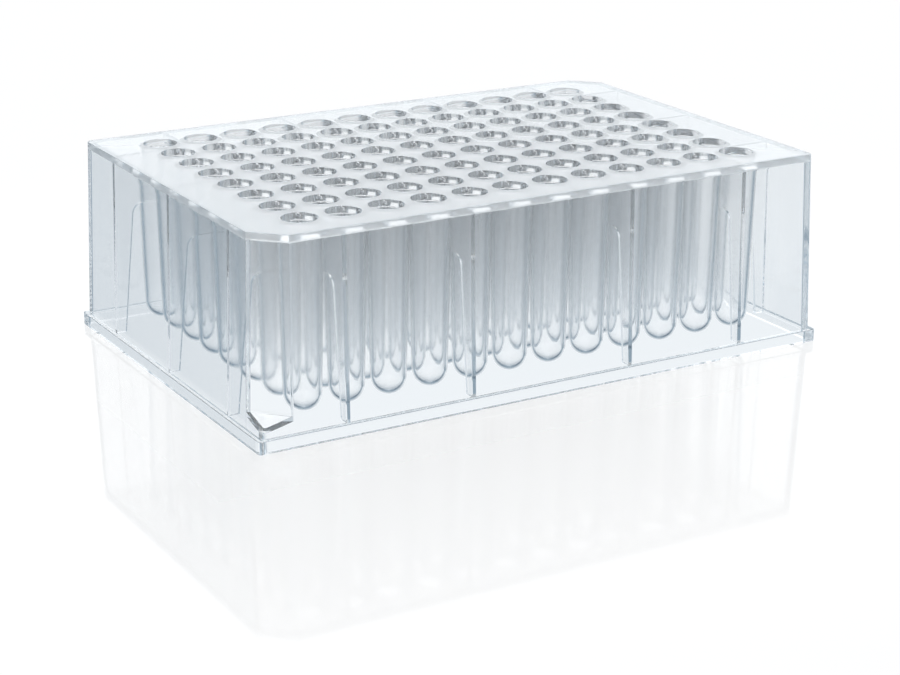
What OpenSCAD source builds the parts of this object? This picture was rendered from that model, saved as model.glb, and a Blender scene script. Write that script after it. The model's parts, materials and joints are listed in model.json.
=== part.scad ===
// Deep-well plate: tapered round-bottomed tubes hang from a flat deck inside a drafted
// skirt, moulded in one piece of clear plastic.
// X runs along the columns of wells, Y across the rows and +Z is up. The origin is the
// centre of the base, on the surface that the plate stands on.

/* [Well grid] */
// Columns of wells, along the plate
cols = 12; // [4:1:14]
// Rows of wells, across the plate
rows = 8; // [4:1:10]
// Distance between the centres of neighbouring wells
pitch = 9; // [8.2:0.1:12]
// From a corner well's centre to the end of the base
margin_x = 14.38; // [11:0.02:22]
// From a corner well's centre to the side of the base
margin_y = 11.24; // [9.6:0.02:20]

/* [Wells] */
// Inner diameter of a well at its mouth
mouth_d = 6.85; // [5.8:0.05:7.6]
// How much narrower a well is where its round bottom begins
well_taper = 1.05; // [0.2:0.05:1.8]
// Depth of the straight mouth, where the plug of a cap mat seals
mouth_land = 2; // [0.5:0.1:5]
// Wall of a tube
tube_wall = 0.6; // [0.4:0.05:0.8]

/* [Deck and skirt] */
// Overall height of the plate
plate_h = 39.7; // [24:0.1:60]
// Thickness of the deck
deck_t = 1.5; // [1:0.1:3]
// Thickness of the skirt's walls
wall_t = 1.3; // [0.8:0.1:2]
// Lean of the skirt's walls, in degrees
wall_draft = 1.65; // [1:0.05:2.5]
// Radius of the skirt's upright corners, outside
corner_r = 1.2; // [0.8:0.1:3]
// Radius of the skirt's upright corners, inside
inner_corner_r = 0.6; // [0.3:0.1:2]

/* [Cut corners] */
// Leg of the two cut corners that tell which way round the plate is
cut_leg = 6.4; // [3:0.1:7]
// Height at which a cut corner ends in a shelf
shelf_z = 5.9; // [5:0.1:10]
// Fall of the shelf towards the corner, in degrees
shelf_fall = 18; // [0:1:25]

/* [Base flange] */
// How far the flange stands out from the foot of the skirt
flange_out = 0.76; // [0.3:0.02:1.2]
// Height of the flange
flange_h = 2.5; // [2:0.05:4]
// Radius of the flange's corners
flange_r = 0.8; // [0.8:0.1:3.2]

/* [Stacking] */
// How deep the deck of the plate below nests inside the base
nest_depth = 2.3; // [1:0.1:3]
// Clearance all round that deck
nest_gap = 0.4; // [0.2:0.05:0.6]
// Clearance between that deck and the round bottoms of the tubes
tube_gap = 0.4; // [0.2:0.05:3]

/* [Ribs] */
// Thickness of a rib
rib_t = 0.9; // [0.6:0.1:1.2]
// How far a rib's web reaches down from the deck
web_h = 9; // [5:0.1:14]
// Radius where the web runs into the buttress
web_r = 2.3; // [1:0.1:3]
// How far a buttress stands in from the wall at its top
buttress_top = 3.9; // [2.5:0.1:4.2]
// How far a buttress stands in from the wall at its foot
buttress_foot = 2.1; // [1:0.1:2.5]

/* [Hidden] */

// Facets of a hulled corner disc, and of everything that stays a true curve
corner_fn = 32;
round_fn = 96;
// Overlap that joins neighbouring shapes or carries a cut through
bite = 0.4;
// Thickness of a disc that only marks a hull's end
leaf = 0.01;

// From the origin to a corner well, and to the edge of the base
grid_x = (cols - 1) * pitch / 2;
grid_y = (rows - 1) * pitch / 2;
base_x = grid_x + margin_x;
base_y = grid_y + margin_y;
deck_z = plate_h - deck_t;
lean = tan(wall_draft);

// Bore of a well, and the centre of its round bottom
mouth_r = mouth_d / 2;
foot_r = mouth_r - well_taper / 2;
ball_z = nest_depth + tube_gap + tube_wall + foot_r;
land_z = plate_h - mouth_land;

// Gaps between wells that hold a rib: the outer ones, and the third points or the middle
rib_gaps_x = [1, round(cols / 3), cols - round(cols / 3), cols - 1];
rib_gaps_y = [1, round(rows / 2), rows - 1];

// Half the skirt's length and width at height z
function skirt_x(z) = base_x - flange_out - z * lean;
function skirt_y(z) = base_y - flange_out - z * lean;

// Centre line of the gap after well number n, where half is the grid's half length
function gap_line(n, half) = (n - 0.5) * pitch - half;

module at_wells() {
    for (c = [0:cols - 1], r = [0:rows - 1])
        translate([c * pitch - grid_x, r * pitch - grid_y, 0])
            children();
}

// Drafted block with round upright edges, from below the base to above the deck
module drafted_block(inset, r) {
    hull()
        for (z = [-bite, plate_h + bite], sx = [-1, 1], sy = [-1, 1])
            translate([sx * (skirt_x(z) - inset - r), sy * (skirt_y(z) - inset - r), z])
                cylinder(r = r, h = leaf, $fn = corner_fn);
}

// What the two cut corners take away above their shelves. The diagonal distance from the
// plate's middle is X here, and inset moves the faces inward and the shelves down.
module corner_cuts(inset) {
    low = shelf_z - inset;
    top = plate_h + 2 * bite;
    reach = 2 * cut_leg;
    function face(z) = (skirt_x(0) + skirt_y(0) - cut_leg) / sqrt(2) - z * lean - inset;
    for (turn = [0, 180])
        rotate([0, 0, turn])
            translate([(base_y - base_x) / 2, (base_x - base_y) / 2, 0])
                rotate([0, 0, -135])
                    rotate([90, 0, 0])
                        linear_extrude(height = 4 * cut_leg, center = true)
                            polygon([
                                [face(low), low],
                                [face(low) + reach, low - reach * tan(shelf_fall)],
                                [face(low) + reach, top],
                                [face(top), top]
                            ]);
}

// Skirt and deck: drafted walls under a flat top, open below
module shell() {
    difference() {
        intersection() {
            difference() {
                drafted_block(0, corner_r);
                corner_cuts(0);
            }
            translate([-base_x, -base_y, 0])
                cube([2 * base_x, 2 * base_y, plate_h]);
        }
        intersection() {
            difference() {
                drafted_block(wall_t, inner_corner_r);
                corner_cuts(wall_t);
            }
            translate([-base_x, -base_y, -bite])
                cube([2 * base_x, 2 * base_y, deck_z + bite]);
        }
    }
}

// Flat plate with round corners
module rounded_plate(half_x, half_y, r, h) {
    linear_extrude(height = h) {
        square([2 * half_x, 2 * (half_y - r)], center = true);
        square([2 * (half_x - r), 2 * half_y], center = true);
        for (sx = [-1, 1], sy = [-1, 1])
            translate([sx * (half_x - r), sy * (half_y - r)])
                circle(r = r, $fn = round_fn);
    }
}

// Flange around the foot of the skirt, solid across the middle until the skirt is hollowed
module flange() {
    difference() {
        rounded_plate(base_x, base_y, flange_r, flange_h);
        translate([0, 0, -bite])
            rounded_plate(skirt_x(0) - wall_t, skirt_y(0) - wall_t, inner_corner_r,
                flange_h + 2 * bite);
    }
}

// Recess that takes the deck of the plate below
module nest() {
    translate([0, 0, -bite])
        rounded_plate(skirt_x(plate_h) + nest_gap, skirt_y(plate_h) + nest_gap, corner_r,
            nest_depth + bite);
}

// Round-bottomed tube or bore: a ball, a taper and a straight mouth turned about Z
module round_tube(ball_r, top_r, top_z) {
    rotate_extrude($fn = round_fn)
        intersection() {
            union() {
                translate([0, ball_z])
                    circle(r = ball_r, $fn = round_fn);
                polygon([
                    [0, ball_z], [ball_r, ball_z], [top_r, land_z], [top_r, top_z], [0, top_z]
                ]);
            }
            square([top_r, top_z]);
        }
}

// Side of a rib. X is the distance in from the foot of the skirt and Y is height: a buttress
// runs down the wall, and a web under the deck reaches in to the outer tubes.
module rib_side(reach) {
    web_z = deck_z - web_h;
    bend_z = web_z - web_r;
    top_z = deck_z + bite;
    function wall_at(z) = wall_t / 2 + z * lean;
    function edge_at(z) = wall_t + z * lean + buttress_foot
        + (buttress_top - buttress_foot) * (z - nest_depth) / (bend_z - nest_depth);
    bend_x = edge_at(bend_z) + web_r;
    difference() {
        polygon([
            [wall_at(nest_depth), nest_depth],
            [edge_at(nest_depth), nest_depth],
            [edge_at(bend_z), bend_z],
            [bend_x, bend_z],
            [bend_x, web_z],
            [reach, web_z],
            [reach, top_z],
            [wall_at(top_z), top_z]
        ]);
        translate([bend_x, bend_z])
            circle(r = web_r, $fn = round_fn);
    }
}

// Rib that reaches in from the wall along +X
module rib(reach) {
    rotate([90, 0, 0])
        linear_extrude(height = rib_t, center = true)
            rib_side(reach);
}

module ribs() {
    for (turn = [0, 180])
        rotate([0, 0, turn]) {
            for (n = rib_gaps_x)
                translate([gap_line(n, grid_x), flange_out - base_y, 0])
                    rotate([0, 0, 90])
                        rib(margin_y - flange_out);
            for (n = rib_gaps_y)
                translate([flange_out - base_x, gap_line(n, grid_y), 0])
                    rib(margin_x - flange_out);
        }
}

module well_plate() {
    color([0.86, 0.9, 0.93, 0.45])
        difference() {
            union() {
                shell();
                flange();
                ribs();
                at_wells()
                    round_tube(foot_r + tube_wall, mouth_r + tube_wall, deck_z + bite);
            }
            nest();
            at_wells()
                round_tube(foot_r, mouth_r, plate_h + bite);
        }
}

well_plate();
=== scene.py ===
import json
import math

import bmesh
import bpy
from mathutils import Matrix, Vector


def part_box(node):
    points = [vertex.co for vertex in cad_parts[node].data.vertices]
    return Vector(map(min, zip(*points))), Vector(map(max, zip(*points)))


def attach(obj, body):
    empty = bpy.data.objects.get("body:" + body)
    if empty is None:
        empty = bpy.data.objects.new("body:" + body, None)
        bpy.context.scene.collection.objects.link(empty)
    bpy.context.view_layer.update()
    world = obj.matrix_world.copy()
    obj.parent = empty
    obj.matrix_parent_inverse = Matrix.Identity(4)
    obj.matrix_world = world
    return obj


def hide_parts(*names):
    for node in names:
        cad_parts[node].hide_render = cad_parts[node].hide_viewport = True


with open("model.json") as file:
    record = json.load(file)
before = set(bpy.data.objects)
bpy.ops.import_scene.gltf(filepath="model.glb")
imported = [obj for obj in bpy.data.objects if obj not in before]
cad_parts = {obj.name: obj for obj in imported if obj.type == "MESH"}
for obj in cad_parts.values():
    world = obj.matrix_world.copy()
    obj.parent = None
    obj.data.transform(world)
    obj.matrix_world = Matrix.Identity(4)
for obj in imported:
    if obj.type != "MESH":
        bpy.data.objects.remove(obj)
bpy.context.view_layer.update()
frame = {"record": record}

# The clear plastic well plate, modelled again as one closed moulding with the small edge
# radii that a polished mould leaves, and finished as clear plastic. Metres, +Z up, the plate
# stands on z = 0 with its middle at the origin.

MM = 0.001

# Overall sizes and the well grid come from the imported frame
_, top_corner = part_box("well_plate")
BASE_X, BASE_Y, HEIGHT = top_corner
hole_dims = {m["name"]: m["dims"] for m in frame["record"]["mounts"]}
PITCH = hole_dims["centre_wells"]["spacing_x_mm"] * MM
MOUTH_R = hole_dims["centre_wells"]["hole_r_mm"] * MM
GRID_X = hole_dims["corner_wells"]["spacing_x_mm"] * MM / 2
GRID_Y = hole_dims["corner_wells"]["spacing_y_mm"] * MM / 2
COLS = round(2 * GRID_X / PITCH) + 1
ROWS = round(2 * GRID_Y / PITCH) + 1

# Wells
FOOT_R = 2.9 * MM
MOUTH_LAND = 2 * MM
TUBE_WALL = 0.6 * MM
# Deck and skirt
DECK_T = 1.5 * MM
WALL_T = 1.3 * MM
LEAN = math.tan(math.radians(1.65))
CORNER_R = 1.2 * MM
INNER_CORNER_R = 0.6 * MM
# Cut corners
CUT_LEG = 6.4 * MM
SHELF_Z = 5.9 * MM
SHELF_FALL = math.radians(18)
# Base flange and the recess for the deck of a plate below
FLANGE_OUT = 0.76 * MM
FLANGE_H = 2.5 * MM
FLANGE_R = 0.8 * MM
NEST_DEPTH = 2.3 * MM
NEST_GAP = 0.4 * MM
TUBE_GAP = 0.4 * MM
# Ribs
RIB_T = 0.9 * MM
WEB_H = 9 * MM
WEB_R = 2.3 * MM
BUTTRESS_TOP = 3.9 * MM
BUTTRESS_FOOT = 2.1 * MM

# Edge radii that the mould leaves
LIP_R = 0.08 * MM
RIM_R = 0.1 * MM
CUT_EDGE_R = 0.2 * MM
TUBE_FILLET_R = 0.4 * MM
CEILING_FILLET_R = 0.4 * MM
# Overlap that joins neighbouring shapes or carries a cut through
BITE = 0.4 * MM
# What keeps two faces from lying in one plane where shapes overlap
HAIR = 0.01 * MM
# How far below the shell the tools reach that hollow it, each clear of the next
HOLLOW_Z = -BITE
HOLLOW_FOOT_Z = -2 * BITE
RECESS_Z = -3 * BITE
# Height at which the skirt's foot starts, inside the flange
FOOT_Z = 0.1 * MM

# Steps of a quarter turn on a corner, on a small edge and on a round bottom
CORNER_STEPS = 8
EDGE_STEPS = 4
BALL_STEPS = 8
# Sides of a tube
TUBE_SIDES = 36
# Edges that turn by more than this stay crisp, and points nearer than this are one
CRISP_ANGLE = math.radians(32)
MERGE_DISTANCE = 0.0005 * MM

# Finish. Clearness is the share of the light that a surface lets through.
PLASTIC_TINT = (0.998, 0.999, 1, 1)
PLASTIC_IOR = 1.58
WALL_ROUGHNESS = 0.03
TUBE_ROUGHNESS = 0.11
ROOT_ROUGHNESS = 0.14
DECK_ROUGHNESS = 0.14
DECK_CLEARNESS = 0.65
MOUTH_ROUGHNESS = 0.06
MOUTH_CLEARNESS = 0.82
# Distances from the skirt's inner face between which the tubes' softer finish begins
SOFT_FROM = 0.2 * MM
SOFT_FULL = 0.6 * MM
# Faint waviness of the moulded surface
WAVE_SCALE = 90
WAVE_STRENGTH = 0.03
WAVE_DEPTH = 0.05 * MM
# The floor: its size, its own paint, the shares of glow and of mirror in what the camera
# sees of it, and how far from the plate the mirror reaches
FLOOR_SIZE = 8
FLOOR_PAINT = (0.9, 0.9, 0.9, 1)
FLOOR_ROUGHNESS = 0.3
GLOW_SHARE = 0.94
MIRROR_SHARE = 0.2
MIRROR_REACH = 0.12
MIRROR_ROUGHNESS = 0.05
WHITE = (1, 1, 1, 1)
# The light round the plate. The first number of each pair is the cosine of the turn from
# the bright backdrop, the second how bright the light is there.
BACKDROP = Vector((0.509, 0.861, 0))
LIGHT_TINT = (0.95, 0.978, 1)
ROUND_LIGHT = ((-1, 1.05), (-0.17, 0.75), (0.26, 0.4), (0.7, 0.4), (0.9, 1), (1, 1))
# The same by height, which is the sine of the elevation
HEIGHT_LIGHT = (
    (-1, 0.9),
    (-0.975, 0.8),
    (-0.95, 0.4),
    (-0.8, 0.35),
    (-0.45, 0.95),
    (0, 0.95),
    (0.3, 1.4),
    (0.7, 1.15),
    (1, 1.1),
)
# How fast red and green fall behind blue where the light is dim
DIM_RED = 1.5
DIM_GREEN = 1.2
# Lamp over the plate: place, size and power in watts
LAMP_PLACE = Vector((0.1, 0.3, 0.9))
LAMP_SIZE = (0.7, 0.5)
LAMP_POWER = 2
# Light crosses many thin walls on its way through the wells
LIGHT_BOUNCES = 128

# Camera: where it looks from, as turns round the plate, above it and about its own axis
CAMERA_PLACE = (-0.2184, -0.3707, 0.1484)
CAMERA_AZIMUTH = math.radians(-30.62)
CAMERA_ELEVATION = math.radians(19.19)
CAMERA_ROLL = math.radians(0.36)
CAMERA_LENS = 86.8
CAMERA_SENSOR = 36
CAMERA_NEAR = 0.01

DECK_Z = HEIGHT - DECK_T
BALL_Z = NEST_DEPTH + TUBE_GAP + TUBE_WALL + FOOT_R
LAND_Z = HEIGHT - MOUTH_LAND


def skirt_half(z, inset):
    """Half the skirt's length and width at height z, inset by that much."""
    back = FLANGE_OUT + z * LEAN + inset
    return BASE_X - back, BASE_Y - back


def cut_leg(z, inset):
    """Leg of a cut corner at height z on the outline that is inset by that much."""
    return CUT_LEG - (2 - math.sqrt(2)) * (z * LEAN + inset)


# Meshes


def new_object(name, bm):
    """Object that holds the finished bmesh."""
    mesh = bpy.data.meshes.new(name)
    bm.normal_update()
    bm.to_mesh(mesh)
    bm.free()
    obj = bpy.data.objects.new(name, mesh)
    bpy.context.scene.collection.objects.link(obj)
    return obj


def rounded_outline(corners):
    """Points of a convex outline. Each corner is (x, y, radius, steps), anticlockwise."""
    points = []
    for i, (x, y, r, steps) in enumerate(corners):
        here = Vector((x, y))
        back = (Vector(corners[i - 1][:2]) - here).normalized()
        ahead = (Vector(corners[(i + 1) % len(corners)][:2]) - here).normalized()
        half = back.angle(ahead) / 2
        middle = here + (back + ahead).normalized() * (r / math.sin(half))
        start = here + back * (r / math.tan(half)) - middle
        turn = math.pi - 2 * half
        for k in range(steps + 1):
            arm = start.copy()
            arm.rotate(Matrix.Rotation(turn * k / steps, 2))
            points.append(middle + arm)
    return points


def plain_outline(half_x, half_y, r):
    """Rectangle with four round corners."""
    return rounded_outline([
        (sx * half_x, sy * half_y, r, CORNER_STEPS)
        for sx, sy in ((-1, -1), (1, -1), (1, 1), (-1, 1))
    ])


def cut_outline(half_x, half_y, leg, r):
    """Outline with its first and third corners cut off."""
    return rounded_outline([
        (-half_x, leg - half_y, CUT_EDGE_R, EDGE_STEPS),
        (leg - half_x, -half_y, CUT_EDGE_R, EDGE_STEPS),
        (half_x, -half_y, r, CORNER_STEPS),
        (half_x, half_y - leg, CUT_EDGE_R, EDGE_STEPS),
        (half_x - leg, half_y, CUT_EDGE_R, EDGE_STEPS),
        (-half_x, half_y, r, CORNER_STEPS),
    ])


def loft(name, rings):
    """Closed solid through outlines with equal numbers of points, each (z, points)."""
    bm = bmesh.new()
    loops = [[bm.verts.new((p.x, p.y, z)) for p in points] for z, points in rings]
    count = len(loops[0])
    bm.faces.new(reversed(loops[0]))
    bm.faces.new(loops[-1])
    for low, high in zip(loops, loops[1:]):
        for i in range(count):
            j = (i + 1) % count
            bm.faces.new((low[i], low[j], high[j], high[i]))
    return new_object(name, bm)


def lathe(name, profile, sides):
    """Closed solid turned about Z from (radius, z) points that start and end on the axis."""
    bm = bmesh.new()
    foot = bm.verts.new((0, 0, profile[0][1]))
    head = bm.verts.new((0, 0, profile[-1][1]))
    turns = [2 * math.pi * k / sides for k in range(sides)]
    loops = []
    for r, z in profile[1:-1]:
        loops.append([bm.verts.new((r * math.cos(a), r * math.sin(a), z)) for a in turns])
    for i in range(sides):
        j = (i + 1) % sides
        bm.faces.new((foot, loops[0][j], loops[0][i]))
        for low, high in zip(loops, loops[1:]):
            bm.faces.new((low[i], low[j], high[j], high[i]))
        bm.faces.new((loops[-1][i], loops[-1][j], head))
    return new_object(name, bm)


def slab(name, outline, thickness):
    """Closed solid that stands on an outline of (y, z) points, centred on x = 0."""
    bm = bmesh.new()
    sides = [
        [bm.verts.new((x, y, z)) for y, z in outline] for x in (-thickness / 2, thickness / 2)
    ]
    bm.faces.new(sides[1])
    bm.faces.new(reversed(sides[0]))
    for i in range(len(outline)):
        j = (i + 1) % len(outline)
        bm.faces.new((sides[0][i], sides[0][j], sides[1][j], sides[1][i]))
    bmesh.ops.recalc_face_normals(bm, faces=bm.faces)
    return new_object(name, bm)


def quarter_steps(steps):
    """Angles of a quarter turn in equal steps, both ends included."""
    return [math.pi / 2 * k / steps for k in range(steps + 1)]


def boolean(target, tool, operation):
    """Joins tool to target or cuts it away, and drops the tool."""
    mod = target.modifiers.new(operation, "BOOLEAN")
    mod.operation = operation
    mod.solver = "MANIFOLD"
    mod.object = tool
    bake(target)
    bpy.data.objects.remove(tool)


def bake(obj):
    """Turns what the object's modifiers give into its plain mesh."""
    bpy.context.view_layer.update()
    evaluated = obj.evaluated_get(bpy.context.evaluated_depsgraph_get())
    mesh = bpy.data.meshes.new_from_object(evaluated)
    obj.modifiers.clear()
    old = obj.data
    obj.data = mesh
    mesh.name = obj.name
    bpy.data.meshes.remove(old)


# Skirt, deck and flange


def skirt_tower(name, inset, low_z, high_z, r, top_r):
    """Drafted block with two cut corners, a rounded top edge and a ring a deck's depth down."""
    rings = []
    levels = [(low_z, 0), (high_z - DECK_T, 0)]
    levels += [
        (high_z - top_r + top_r * math.sin(a), top_r * (1 - math.cos(a)))
        for a in quarter_steps(EDGE_STEPS)
    ]
    for z, round_in in levels:
        half_x, half_y = skirt_half(z, inset + round_in)
        leg = cut_leg(z, inset + round_in)
        rings.append((z, cut_outline(half_x, half_y, leg, r - min(round_in, r / 2))))
    return loft(name, rings)


def skirt_foot(name, inset, low_z, r):
    """Drafted block with four round corners, up to the sloping shelves of the cut ones."""
    shelf = SHELF_Z - inset
    rings = [
        (z, plain_outline(*skirt_half(z, inset + HAIR), r)) for z in (low_z, shelf + BITE)
    ]
    foot = loft(name, rings)
    reach = 2 * CUT_LEG
    fall = math.tan(SHELF_FALL)
    half_x, half_y = skirt_half(0, 0)
    face = (half_x + half_y - CUT_LEG) / math.sqrt(2) - shelf * LEAN - inset
    outline = [
        (face - BITE, shelf + BITE * fall),
        (face + reach, shelf - reach * fall),
        (face + reach, shelf + reach),
        (face - BITE, shelf + reach),
    ]
    middle = Vector((half_x - half_y, half_y - half_x, 0)) / 2
    for turn in (0, math.pi):
        cut = slab("corner_cut", outline, 4 * CUT_LEG)
        place = Matrix.Translation(middle) @ Matrix.Rotation(-math.pi / 4, 4, "Z")
        cut.data.transform(Matrix.Rotation(turn, 4, "Z") @ place)
        boolean(foot, cut, "DIFFERENCE")
    return foot


def base_flange():
    """Plate under the skirt with a small radius at its upper edge."""
    rings = [(0, plain_outline(BASE_X, BASE_Y, FLANGE_R))]
    for a in quarter_steps(EDGE_STEPS):
        back = RIM_R * (1 - math.cos(a))
        z = FLANGE_H - RIM_R + RIM_R * math.sin(a)
        rings.append((z, plain_outline(BASE_X - back, BASE_Y - back, FLANGE_R - back)))
    return loft("flange", rings)


def make_shell():
    """Skirt, deck and flange, hollow below the deck."""
    shell = skirt_tower("well_plate_moulding", 0, FLANGE_H / 2, HEIGHT, CORNER_R, RIM_R)
    boolean(shell, skirt_foot("foot", 0, FOOT_Z, CORNER_R), "UNION")
    boolean(shell, base_flange(), "UNION")
    hollow = skirt_tower("hollow", WALL_T, HOLLOW_Z, DECK_Z, INNER_CORNER_R, CEILING_FILLET_R)
    boolean(hollow, skirt_foot("hollow_foot", WALL_T, HOLLOW_FOOT_Z, INNER_CORNER_R), "UNION")
    boolean(shell, hollow, "DIFFERENCE")
    return shell


def make_recess():
    """Space that the deck of a plate below takes inside the base."""
    outline = plain_outline(*skirt_half(HEIGHT, -NEST_GAP), CORNER_R)
    return loft("recess", [(RECESS_Z, outline), (NEST_DEPTH, outline)])


# Wells


def ball_profile(r):
    """From the pole of a round bottom up to its widest ring."""
    return [
        (r * math.sin(a), BALL_Z - r * math.cos(a)) for a in quarter_steps(BALL_STEPS)
    ]


def make_tube():
    """Outside of a tube, which flares into the underside of the deck."""
    top_r = MOUTH_R + TUBE_WALL
    flare_z = DECK_Z - TUBE_FILLET_R
    profile = ball_profile(FOOT_R + TUBE_WALL)
    profile += [
        (
            top_r + TUBE_FILLET_R * (1 - math.cos(a)),
            flare_z + TUBE_FILLET_R * math.sin(a),
        )
        for a in quarter_steps(EDGE_STEPS)
    ]
    profile += [(top_r + TUBE_FILLET_R, DECK_Z + BITE), (0, DECK_Z + BITE)]
    return lathe("tube", profile, TUBE_SIDES)


def make_bore():
    """Inside of a well, with a rounded lip at the deck."""
    profile = ball_profile(FOOT_R)
    profile.append((MOUTH_R, LAND_Z))
    profile += [
        (MOUTH_R + LIP_R * (1 - math.cos(a)), HEIGHT - LIP_R + LIP_R * math.sin(a))
        for a in quarter_steps(EDGE_STEPS)
    ]
    profile += [(MOUTH_R + LIP_R, HEIGHT + BITE), (0, HEIGHT + BITE)]
    return lathe("bore", profile, TUBE_SIDES)


# Ribs


def make_rib(name, reach):
    """Rib in the plane x = 0 that starts at a wall's foot, y = 0, and reaches in along +Y."""
    web_z = DECK_Z - WEB_H
    bend_z = web_z - WEB_R
    top_z = DECK_Z + BITE

    def wall_at(z):
        return WALL_T / 2 + z * LEAN

    def edge_at(z):
        share = (z - NEST_DEPTH) / (bend_z - NEST_DEPTH)
        stand = BUTTRESS_FOOT + (BUTTRESS_TOP - BUTTRESS_FOOT) * share
        return WALL_T + z * LEAN + stand

    bend_y = edge_at(bend_z) + WEB_R
    outline = [(wall_at(NEST_DEPTH), NEST_DEPTH), (edge_at(NEST_DEPTH), NEST_DEPTH)]
    outline += [
        (bend_y - WEB_R * math.cos(a), bend_z + WEB_R * math.sin(a))
        for a in quarter_steps(CORNER_STEPS)
    ]
    outline += [(reach, web_z), (reach, top_z), (wall_at(top_z), top_z)]
    return slab(name, outline, RIB_T)


def rib_places(name, gaps, span, stand, quarter):
    """Points at the feet of two facing walls, with the turn of a rib at each."""
    spots = []
    turns = []
    for turn in (quarter, quarter + math.pi):
        for gap in gaps:
            spot = Vector(((gap - 0.5) * PITCH - span, -stand, 0))
            spot.rotate(Matrix.Rotation(turn, 3, "Z"))
            spots.append(spot)
            turns.append(turn)
    mesh = bpy.data.meshes.new(name)
    mesh.from_pydata(spots, [], [])
    mesh.attributes.new("turn", "FLOAT", "POINT")
    mesh.attributes["turn"].data.foreach_set("value", turns)
    obj = bpy.data.objects.new(name, mesh)
    bpy.context.scene.collection.objects.link(obj)
    return obj


# Geometry Nodes


def new_tree(name, inputs):
    """Node tree that changes a geometry, with inputs of (name, kind)."""
    tree = bpy.data.node_groups.new(name, "GeometryNodeTree")
    tree.interface.new_socket("Geometry", in_out="OUTPUT", socket_type="NodeSocketGeometry")
    for input_name, kind in [("Geometry", "Geometry"), *inputs]:
        tree.interface.new_socket(input_name, in_out="INPUT", socket_type="NodeSocket" + kind)
    return tree


def run_tree(obj, tree, values):
    """Runs a node tree on the object's mesh, with values by the names of its inputs."""
    mod = obj.modifiers.new(tree.name, "NODES")
    mod.node_group = tree
    for item in tree.interface.items_tree:
        if item.in_out == "INPUT" and item.name in values:
            mod[item.identifier] = values[item.name]
    bake(obj)


def object_geometry(tree, source, socket):
    """Mesh of the object that the tree is given at that input."""
    info = tree.nodes.new("GeometryNodeObjectInfo")
    tree.links.new(source.outputs[socket], info.inputs["Object"])
    return info.outputs["Geometry"]


def finish_tree(tree, source, geometry):
    """Makes instances real, sets the plastic and passes the geometry out."""
    nodes, links = tree.nodes, tree.links
    realize = nodes.new("GeometryNodeRealizeInstances")
    links.new(geometry, realize.inputs["Geometry"])
    finish = nodes.new("GeometryNodeSetMaterial")
    links.new(realize.outputs["Geometry"], finish.inputs["Geometry"])
    links.new(source.outputs["Plastic"], finish.inputs["Material"])
    sink = nodes.new("NodeGroupOutput")
    links.new(finish.outputs["Geometry"], sink.inputs["Geometry"])


def rib_tree():
    """Sets a rib on each point, turned by the point's own angle."""
    tree = new_tree("Ribs on places", [("Rib", "Object"), ("Plastic", "Material")])
    nodes, links = tree.nodes, tree.links
    source = nodes.new("NodeGroupInput")
    angle = nodes.new("GeometryNodeInputNamedAttribute")
    angle.data_type = "FLOAT"
    angle.inputs["Name"].default_value = "turn"
    rotation = nodes.new("ShaderNodeCombineXYZ")
    links.new(angle.outputs["Attribute"], rotation.inputs["Z"])
    place = nodes.new("GeometryNodeInstanceOnPoints")
    links.new(source.outputs["Geometry"], place.inputs["Points"])
    links.new(object_geometry(tree, source, "Rib"), place.inputs["Instance"])
    links.new(rotation.outputs[0], place.inputs["Rotation"])
    finish_tree(tree, source, place.outputs["Instances"])
    return tree


def wells_tree():
    """Joins a grid of tubes and the ribs to the shell, then cuts the bores and the recess."""
    tree = new_tree("Wells in a plate", [
        ("Tube", "Object"),
        ("Bore", "Object"),
        ("Long side ribs", "Object"),
        ("Short side ribs", "Object"),
        ("Recess", "Object"),
        ("Columns", "Int"),
        ("Rows", "Int"),
        ("Length of grid", "Float"),
        ("Width of grid", "Float"),
        ("Plastic", "Material"),
    ])
    nodes, links = tree.nodes, tree.links
    source = nodes.new("NodeGroupInput")
    grid = nodes.new("GeometryNodeMeshGrid")
    links.new(source.outputs["Length of grid"], grid.inputs["Size X"])
    links.new(source.outputs["Width of grid"], grid.inputs["Size Y"])
    links.new(source.outputs["Columns"], grid.inputs["Vertices X"])
    links.new(source.outputs["Rows"], grid.inputs["Vertices Y"])

    def on_grid(socket):
        place = nodes.new("GeometryNodeInstanceOnPoints")
        links.new(grid.outputs["Mesh"], place.inputs["Points"])
        links.new(object_geometry(tree, source, socket), place.inputs["Instance"])
        realize = nodes.new("GeometryNodeRealizeInstances")
        links.new(place.outputs["Instances"], realize.inputs["Geometry"])
        return realize.outputs["Geometry"]

    join = nodes.new("GeometryNodeMeshBoolean")
    join.operation = "UNION"
    join.solver = "MANIFOLD"
    for part in (
        source.outputs["Geometry"],
        on_grid("Tube"),
        object_geometry(tree, source, "Long side ribs"),
        object_geometry(tree, source, "Short side ribs"),
    ):
        links.new(part, join.inputs["Mesh 2"])
    cut = nodes.new("GeometryNodeMeshBoolean")
    cut.operation = "DIFFERENCE"
    cut.solver = "MANIFOLD"
    links.new(join.outputs["Mesh"], cut.inputs["Mesh 1"])
    links.new(on_grid("Bore"), cut.inputs["Mesh 2"])
    links.new(object_geometry(tree, source, "Recess"), cut.inputs["Mesh 2"])
    finish_tree(tree, source, cut.outputs["Mesh"])
    return tree


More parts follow.
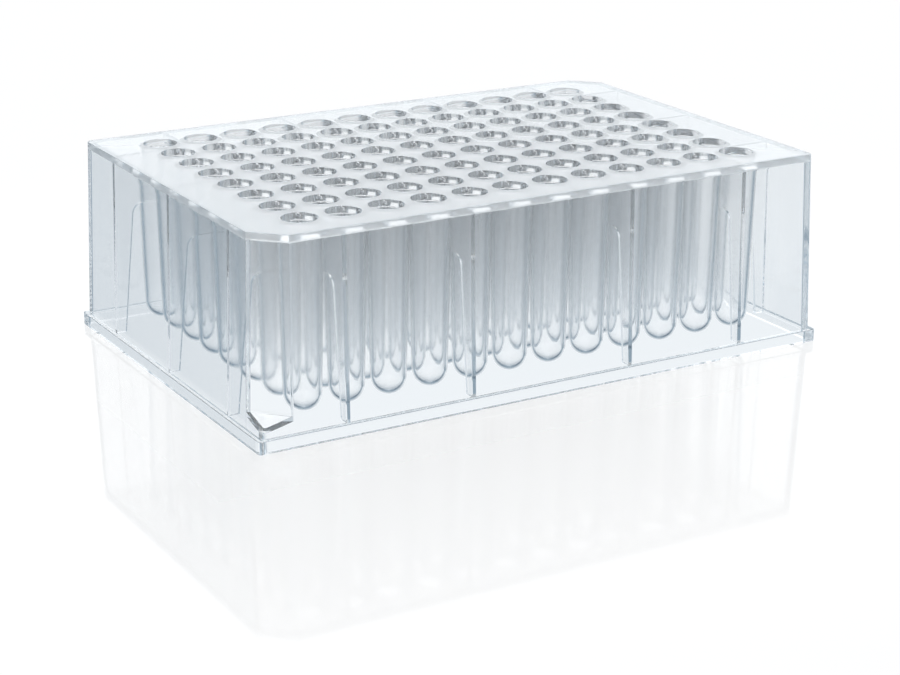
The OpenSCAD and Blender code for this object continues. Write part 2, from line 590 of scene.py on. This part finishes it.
def make_plate(plastic):
    """The whole moulding as one closed mesh."""
    shell = make_shell()
    side_stand = BASE_Y - FLANGE_OUT
    end_stand = BASE_X - FLANGE_OUT
    side_gaps = (1, COLS // 3, COLS - COLS // 3, COLS - 1)
    end_gaps = (1, ROWS // 2, ROWS - 1)
    side_rib = make_rib("side_rib", side_stand - GRID_Y)
    end_rib = make_rib("end_rib", end_stand - GRID_X)
    long_side = rib_places("long_side_ribs", side_gaps, GRID_X, side_stand, 0)
    short_side = rib_places("short_side_ribs", end_gaps, GRID_Y, end_stand, -math.pi / 2)
    ribs = rib_tree()
    run_tree(long_side, ribs, {"Rib": side_rib, "Plastic": plastic})
    run_tree(short_side, ribs, {"Rib": end_rib, "Plastic": plastic})
    tube, bore, recess = make_tube(), make_bore(), make_recess()
    run_tree(shell, wells_tree(), {
        "Long side ribs": long_side,
        "Short side ribs": short_side,
        "Tube": tube,
        "Bore": bore,
        "Recess": recess,
        "Columns": COLS,
        "Rows": ROWS,
        "Length of grid": 2 * GRID_X,
        "Width of grid": 2 * GRID_Y,
        "Plastic": plastic,
    })
    for tool in (side_rib, end_rib, long_side, short_side, tube, bore, recess):
        bpy.data.objects.remove(tool)
    return shell


def smooth(obj):
    """Smooth shading with crisp edges, where large faces keep their own normals."""
    bm = bmesh.new()
    bm.from_mesh(obj.data)
    bmesh.ops.remove_doubles(bm, verts=bm.verts, dist=MERGE_DISTANCE)
    bm.to_mesh(obj.data)
    bm.free()
    obj.data.shade_smooth()
    obj.data.set_sharp_from_angle(angle=CRISP_ANGLE)
    mod = obj.modifiers.new("normals", "WEIGHTED_NORMAL")
    mod.mode = "FACE_AREA"
    mod.keep_sharp = True
    bake(obj)


# Materials


def math_node(nodes, links, operation, *values):
    """A maths node. Each value is a number or another node's output."""
    node = nodes.new("ShaderNodeMath")
    node.operation = operation
    for socket, value in zip(node.inputs, values):
        if isinstance(value, (int, float)):
            socket.default_value = value
        else:
            links.new(value, socket)
    return node.outputs[0]


def map_range(nodes, links, value, low, high, to_low, to_high):
    """Takes a value between low and high to the same share between to_low and to_high."""
    node = nodes.new("ShaderNodeMapRange")
    links.new(value, node.inputs["Value"])
    for name, number in (
        ("From Min", low), ("From Max", high), ("To Min", to_low), ("To Max", to_high)
    ):
        node.inputs[name].default_value = number
    return node.outputs["Result"]


def object_place(nodes, links):
    """Object coordinates, and the same split into X, Y and Z."""
    place = nodes.new("ShaderNodeTexCoord").outputs["Object"]
    split = nodes.new("ShaderNodeSeparateXYZ")
    links.new(place, split.inputs[0])
    return place, split.outputs


def new_material(name):
    """Material with its Principled shader."""
    mat = bpy.data.materials.new(name)
    mat.use_nodes = True
    return mat, mat.node_tree.nodes["Principled BSDF"]


def plastic_material(name, clearness, roughness):
    """Polished to satin plastic, with its shader."""
    mat, shader = new_material(name)
    shader.inputs["Base Color"].default_value = PLASTIC_TINT
    shader.inputs["IOR"].default_value = PLASTIC_IOR
    shader.inputs["Transmission Weight"].default_value = clearness
    shader.inputs["Roughness"].default_value = roughness
    return mat, shader


def clear_plastic():
    """Clear moulded plastic: polished walls, and softer tubes and ribs."""
    mat, shader = plastic_material("clear_plastic", 1, WALL_ROUGHNESS)
    nodes, links = mat.node_tree.nodes, mat.node_tree.links
    place, axes = object_place(nodes, links)
    # 1 on tubes and ribs, 0 on the walls and in the mouths
    inside = map_range(nodes, links, axes["Z"], LAND_Z - HAIR, LAND_Z + HAIR, 1, 0)
    for axis, room in zip("XY", skirt_half(HEIGHT, WALL_T)):
        out = math_node(nodes, links, "ABSOLUTE", axes[axis])
        within = map_range(nodes, links, out, room - SOFT_FULL, room - SOFT_FROM, 1, 0)
        inside = math_node(nodes, links, "MINIMUM", inside, within)
    # From the round bottoms up, tubes get softer, and softer still towards the deck
    low_soft = TUBE_ROUGHNESS - WALL_ROUGHNESS
    high_soft = ROOT_ROUGHNESS - TUBE_ROUGHNESS
    low = map_range(nodes, links, axes["Z"], BALL_Z, 2 * BALL_Z, 0, low_soft)
    high = map_range(nodes, links, axes["Z"], 2 * BALL_Z, DECK_Z, 0, high_soft)
    soft = math_node(nodes, links, "ADD", low, high)
    soft = math_node(nodes, links, "MULTIPLY", inside, soft)
    rough = math_node(nodes, links, "ADD", soft, WALL_ROUGHNESS)
    links.new(rough, shader.inputs["Roughness"])
    wave = nodes.new("ShaderNodeTexNoise")
    wave.inputs["Scale"].default_value = WAVE_SCALE
    wave.inputs["Detail"].default_value = 1
    links.new(place, wave.inputs["Vector"])
    bump = nodes.new("ShaderNodeBump")
    bump.inputs["Strength"].default_value = WAVE_STRENGTH
    bump.inputs["Distance"].default_value = WAVE_DEPTH
    links.new(wave.outputs["Fac"], bump.inputs["Height"])
    links.new(bump.outputs["Normal"], shader.inputs["Normal"])
    return mat


def from_well(place):
    """Distance in plan from the middle of the nearest well."""
    column = min(max(round((place.x + GRID_X) / PITCH), 0), COLS - 1)
    row = min(max(round((place.y + GRID_Y) / PITCH), 0), ROWS - 1)
    return math.hypot(place.x + GRID_X - column * PITCH, place.y + GRID_Y - row * PITCH)


def finish_deck(plate):
    """Gives the deck's top and edge one satin finish, and the wells' mouths another."""
    deck, _ = plastic_material("satin_deck", DECK_CLEARNESS, DECK_ROUGHNESS)
    mouths, _ = plastic_material("satin_mouths", MOUTH_CLEARNESS, MOUTH_ROUGHNESS)
    for material in (deck, mouths):
        plate.data.materials.append(material)
    for face in plate.data.polygons:
        x, y, z = face.center
        top = z > HEIGHT - HAIR and face.normal.z > 0.9
        past_wells = abs(x) > GRID_X + PITCH or abs(y) > GRID_Y + PITCH
        if top or (past_wells and z > DECK_Z):
            face.material_index = 1
        elif z > LAND_Z and from_well(face.center) < MOUTH_R + LIP_R:
            face.material_index = 2


# Stage


def mix_shader(nodes, links, share, first, second):
    """Two shaders mixed, where share is how much of the second there is."""
    mix = nodes.new("ShaderNodeMixShader")
    links.new(share, mix.inputs[0])
    links.new(first, mix.inputs[1])
    links.new(second, mix.inputs[2])
    return mix.outputs[0]


def white_sheet(nodes, links):
    """What the camera sees of the floor: a white glow, with a mirror that fades outwards."""
    mirror = nodes.new("ShaderNodeBsdfGlossy")
    mirror.inputs["Color"].default_value = WHITE
    mirror.inputs["Roughness"].default_value = MIRROR_ROUGHNESS
    glow = nodes.new("ShaderNodeEmission")
    glow.inputs["Color"].default_value = WHITE
    _, axes = object_place(nodes, links)
    gaps = []
    for axis, edge in (("X", BASE_X), ("Y", BASE_Y)):
        out = math_node(nodes, links, "ABSOLUTE", axes[axis])
        gaps.append(math_node(nodes, links, "SUBTRACT", out, edge))
    gap = math_node(nodes, links, "MAXIMUM", *gaps)
    fade = map_range(nodes, links, gap, 0, MIRROR_REACH, MIRROR_SHARE, 0)
    return mix_shader(nodes, links, fade, glow.outputs[0], mirror.outputs[0])


def floor_material():
    """White sheet for the camera that keeps a share of the plate's shadow."""
    mat, matt = new_material("white_floor")
    nodes, links = mat.node_tree.nodes, mat.node_tree.links
    matt.inputs["Base Color"].default_value = FLOOR_PAINT
    matt.inputs["Roughness"].default_value = FLOOR_ROUGHNESS
    path = nodes.new("ShaderNodeLightPath").outputs
    camera = math_node(nodes, links, "MULTIPLY", path["Is Camera Ray"], GLOW_SHARE)
    sheet = mix_shader(nodes, links, camera, matt.outputs[0], white_sheet(nodes, links))
    # Plastic shows the lit surroundings in place of the sheet, which is clear from below
    clear = nodes.new("ShaderNodeBsdfTransparent")
    side = nodes.new("ShaderNodeNewGeometry")
    through = math_node(
        nodes, links, "MAXIMUM", path["Is Glossy Ray"], path["Is Transmission Ray"]
    )
    through = math_node(nodes, links, "MAXIMUM", through, side.outputs["Backfacing"])
    surface = mix_shader(nodes, links, through, sheet, clear.outputs[0])
    links.new(surface, nodes["Material Output"].inputs["Surface"])
    return mat


def make_floor():
    """Large flat floor under the plate, which isn't part of the object."""
    bpy.ops.mesh.primitive_plane_add(size=FLOOR_SIZE)
    floor = bpy.context.object
    floor.name = "floor"
    floor.data.materials.append(floor_material())


def curve(nodes, links, value, points):
    """Straight steps between points of (value, brightness). What is dim is bluer too."""
    ramp = nodes.new("ShaderNodeValToRGB")
    marks = ramp.color_ramp.elements
    while len(marks) < len(points):
        marks.new(0.5)
    for mark, (position, level) in zip(marks, points):
        mark.position = (position + 1) / 2
        if level < 1:
            mark.color = (level**DIM_RED, level**DIM_GREEN, level, 1)
        else:
            mark.color = (level, level, level, 1)
    shift = map_range(nodes, links, value, -1, 1, 0, 1)
    links.new(shift, ramp.inputs[0])
    return ramp.outputs["Color"]


def vector_node(nodes, links, operation, *values):
    """Vector Math node, with both results. Each value is a vector or another node's output."""
    node = nodes.new("ShaderNodeVectorMath")
    node.operation = operation
    for socket, value in zip(node.inputs, values):
        if isinstance(value, bpy.types.NodeSocket):
            links.new(value, socket)
        else:
            socket.default_value = value
    return node.outputs


def make_world():
    """White for the camera. Plastic sees a bright backdrop with a dark flag on each side."""
    world = bpy.data.worlds.new("studio")
    bpy.context.scene.world = world
    world.use_nodes = True
    nodes, links = world.node_tree.nodes, world.node_tree.links
    way = nodes.new("ShaderNodeTexCoord").outputs["Generated"]
    split = nodes.new("ShaderNodeSeparateXYZ")
    links.new(way, split.inputs[0])
    level = vector_node(nodes, links, "MULTIPLY", way, (1, 1, 0))["Vector"]
    heading = vector_node(nodes, links, "NORMALIZE", level)["Vector"]
    toward = vector_node(nodes, links, "DOT_PRODUCT", heading, BACKDROP)["Value"]
    around = curve(nodes, links, toward, ROUND_LIGHT)
    upward = curve(nodes, links, split.outputs["Z"], HEIGHT_LIGHT)
    tinted = vector_node(nodes, links, "MULTIPLY", around, LIGHT_TINT)["Vector"]
    light = vector_node(nodes, links, "MULTIPLY", tinted, upward)["Vector"]
    # A colour mix takes its colours at sockets 6 and 7 and gives its result at 2
    path = nodes.new("ShaderNodeLightPath")
    seen = nodes.new("ShaderNodeMix")
    seen.data_type = "RGBA"
    links.new(path.outputs["Is Camera Ray"], seen.inputs[0])
    links.new(light, seen.inputs[6])
    seen.inputs[7].default_value = WHITE
    links.new(seen.outputs[2], nodes["Background"].inputs["Color"])


def make_lamp():
    """Soft lamp over the plate and a little behind it."""
    light = bpy.data.lights.new("overhead", "AREA")
    light.shape = "RECTANGLE"
    light.size, light.size_y = LAMP_SIZE
    light.energy = LAMP_POWER
    lamp = bpy.data.objects.new("overhead", light)
    lamp.location = LAMP_PLACE
    lamp.rotation_euler = (-LAMP_PLACE).to_track_quat("-Z", "Y").to_euler()
    bpy.context.scene.collection.objects.link(lamp)


def make_camera():
    """Looks down on the cut corner at the front, from a little left of it."""
    back = Vector((
        math.sin(CAMERA_AZIMUTH) * math.cos(CAMERA_ELEVATION),
        -math.cos(CAMERA_AZIMUTH) * math.cos(CAMERA_ELEVATION),
        math.sin(CAMERA_ELEVATION),
    ))
    side = Vector((0, 0, 1)).cross(back).normalized()
    up = back.cross(side)
    turned_side = side * math.cos(CAMERA_ROLL) + up * math.sin(CAMERA_ROLL)
    turned_up = up * math.cos(CAMERA_ROLL) - side * math.sin(CAMERA_ROLL)
    rotation = Matrix((turned_side, turned_up, back)).transposed()
    data = bpy.data.cameras.new("camera")
    data.sensor_width = CAMERA_SENSOR
    data.lens = CAMERA_LENS
    data.clip_start = CAMERA_NEAR
    camera = bpy.data.objects.new("camera", data)
    camera.matrix_world = Matrix.Translation(CAMERA_PLACE) @ rotation.to_4x4()
    bpy.context.scene.collection.objects.link(camera)
    bpy.context.scene.camera = camera


plate = make_plate(clear_plastic())
smooth(plate)
finish_deck(plate)
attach(plate, "root")
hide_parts("well_plate")

make_floor()
make_world()
make_lamp()
make_camera()

scene = bpy.context.scene
scene.view_settings.view_transform = "Standard"
scene.cycles.max_bounces = LIGHT_BOUNCES
scene.cycles.transmission_bounces = LIGHT_BOUNCES
scene.cycles.glossy_bounces = LIGHT_BOUNCES
